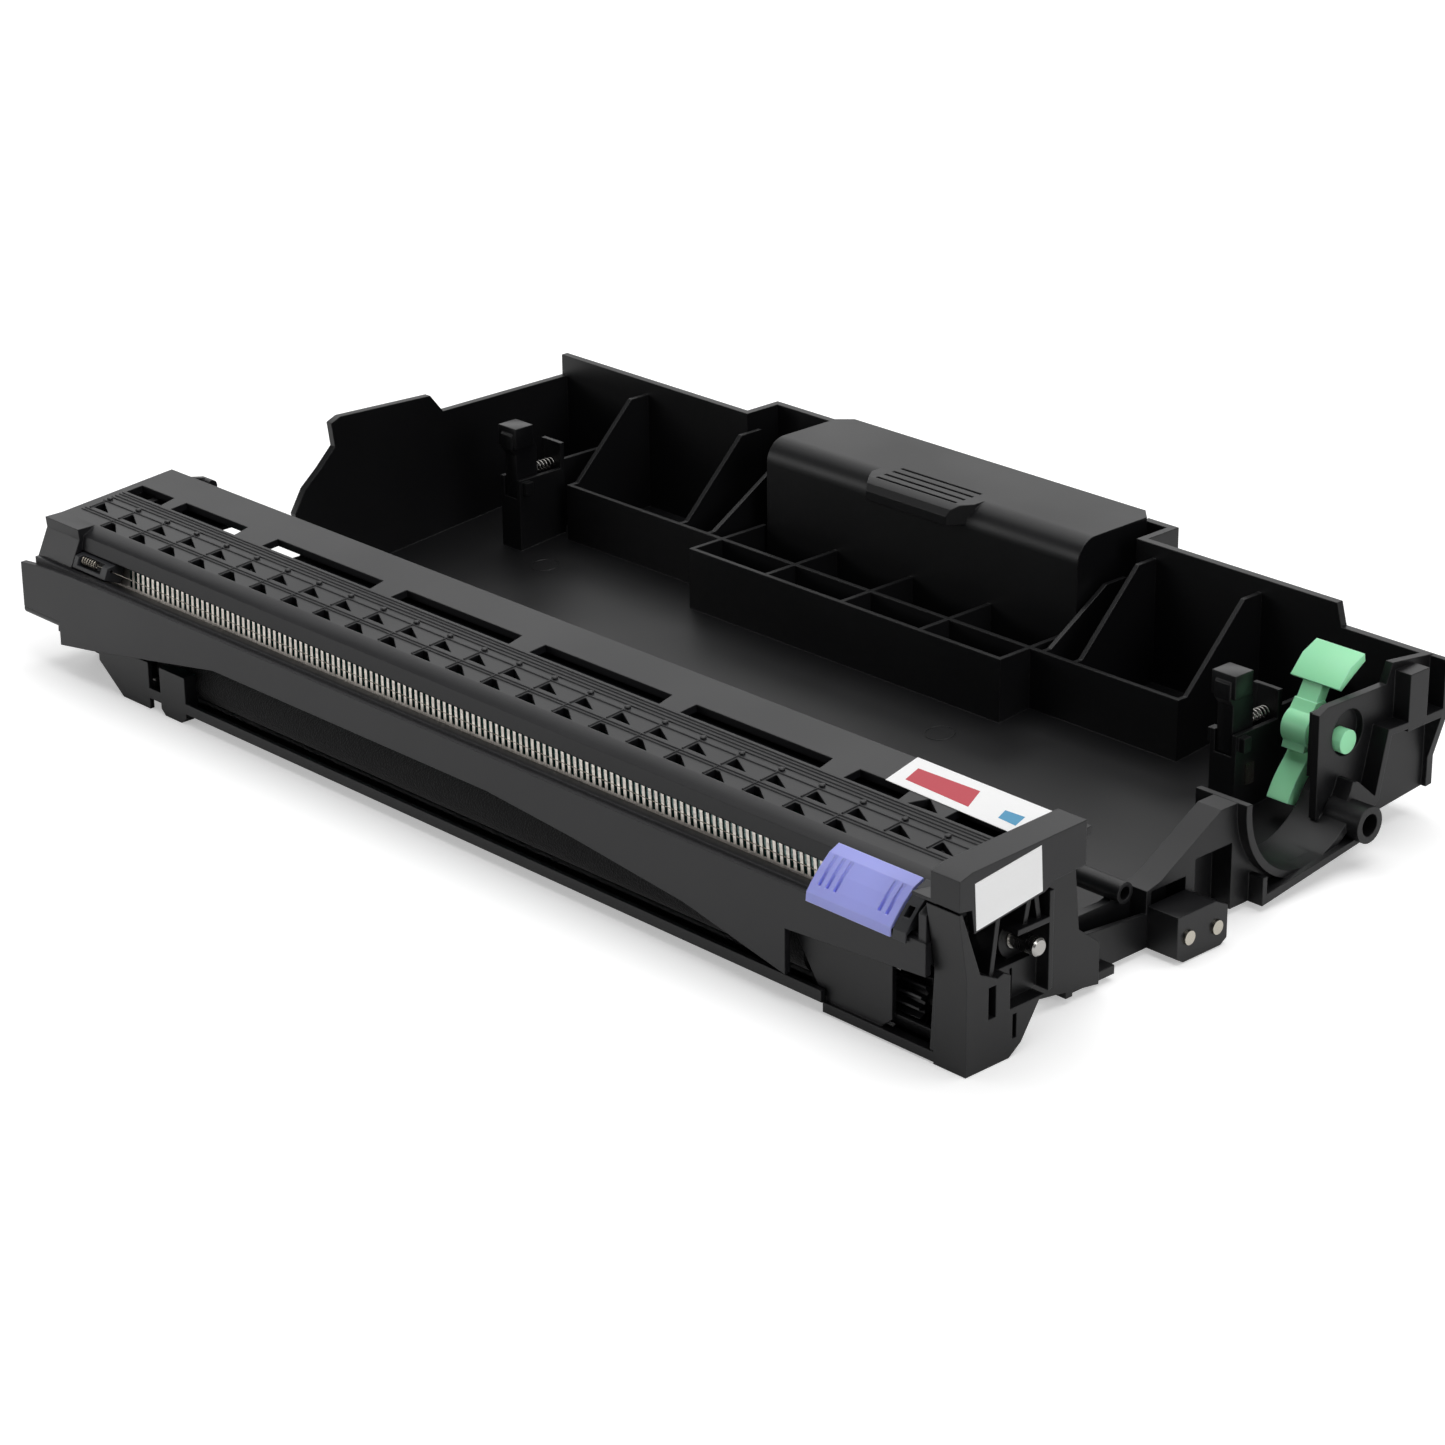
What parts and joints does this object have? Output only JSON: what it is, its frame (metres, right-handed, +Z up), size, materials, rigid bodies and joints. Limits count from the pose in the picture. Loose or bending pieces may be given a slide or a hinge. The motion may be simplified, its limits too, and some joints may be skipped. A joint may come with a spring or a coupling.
{
  "type": "printer drum unit",
  "caption": "Drum unit of a laser printer: black tray with a carrying handle for the toner cartridge, a sprung lock lever, and a covered drum with charging grid, wire cleaner and transfer roller.",
  "frame": {"origin": "middle of the unit's outline on the table", "axes": "X along the drum to the end with the gear and the lever, Y from the drum back to the handle, Z up"},
  "size_m": [0.3208, 0.188, 0.0452],
  "materials": {
    "frame_plastic": "black moulded plastic with a fine satin grain",
    "cover_plastic": "black moulded plastic, satin",
    "grid_steel": "etched stainless sheet",
    "wire_metal": "drawn tungsten wire",
    "spring_steel": "spring steel wire",
    "holder_plastic": "dark grey insulating plastic",
    "tab_plastic": "lilac blue, lightly glossy",
    "felt": "pressed felt",
    "drum_coating": "glossy coating on an aluminium tube",
    "gear_plastic": "dark acetal",
    "shaft_steel": "ground steel",
    "contact_metal": "plated contact metal",
    "brush_fibre": "black conductive fibre",
    "roller_foam": "conductive foam",
    "lever_plastic": "mint green, lightly glossy",
    "arm_plastic": "black plastic",
    "sticker_paper": "white coated label, unprinted"
  },
  "bodies": {
    "unit": {"tray_frame": "frame_plastic", "drum_cover": "cover_plastic", "charge_grid": "grid_steel", "corona_wire": "wire_metal", "wire_spring": "spring_steel", "wire_holder_left": "holder_plastic", "wire_holder_right": "holder_plastic", "drum_shaft": "shaft_steel", "shaft_clip": "spring_steel", "cleaning_brush": "brush_fibre", "transfer_spring_left": "spring_steel", "transfer_spring_right": "spring_steel", "lock_lever_spring": "spring_steel", "press_spring_left": "spring_steel", "press_spring_right": "spring_steel", "contact_block": "arm_plastic", "contact_pins": "contact_metal", "side_contact": "contact_metal", "top_sticker": "sticker_paper", "end_sticker": "sticker_paper"},
    "drum": {"photo_drum": "drum_coating", "drum_flange_left": "gear_plastic", "drum_gear": "gear_plastic", "drum_earth_plate": "contact_metal"},
    "bearings": {"transfer_bearing_left": "holder_plastic", "transfer_bearing_right": "holder_plastic"},
    "transfer_roller": {"transfer_sleeve": "roller_foam", "transfer_shaft": "shaft_steel", "transfer_gear": "gear_plastic"},
    "cleaner": {"wire_cleaner": "tab_plastic", "cleaner_pads": "felt"},
    "lever": {"lock_lever": "lever_plastic"},
    "press_left": {"press_arm_left": "arm_plastic"},
    "press_right": {"press_arm_right": "arm_plastic"}
  },
  "joints": [
    {"name": "drum_spin", "type": "hinge", "parent": "unit", "child": "drum", "pos_m": [0, -0.0711, 0.0225], "axis": [1, 0, 0], "continuous": true},
    {"name": "transfer_lift", "type": "slide", "parent": "unit", "child": "bearings", "axis": [0, 0, -1], "range_m": [0, 0.0005], "stiffness_N_per_m": 3000, "springref_m": -0.0004, "deforming": ["transfer_spring_left", "transfer_spring_right"]},
    {"name": "transfer_spin", "type": "hinge", "parent": "bearings", "child": "transfer_roller", "pos_m": [0, -0.0812, 0.00821], "axis": [1, 0, 0], "continuous": true},
    {"name": "cleaner_slide", "type": "slide", "parent": "unit", "child": "cleaner", "axis": [-1, 0, 0], "range_m": [0, 0.246]},
    {"name": "lever_press", "type": "hinge", "parent": "unit", "child": "lever", "pos_m": [0.131, 0.0468, 0.0267], "axis": [1, 0, 0], "range_deg": [-18, 0], "stiffness_Nm_per_rad": 0.05, "springref_deg": 11.46},
    {"name": "press_left_slide", "type": "slide", "parent": "unit", "child": "press_left", "axis": [0, 1, 0], "range_m": [0, 0.003], "stiffness_N_per_m": 800, "springref_m": -0.002},
    {"name": "press_right_slide", "type": "slide", "parent": "unit", "child": "press_right", "axis": [0, 1, 0], "range_m": [0, 0.003], "stiffness_N_per_m": 800, "springref_m": -0.002}
  ],
  "couplings": [
    {"joint": "transfer_spin", "follows": "drum_spin", "ratio": -2.125}
  ]
}
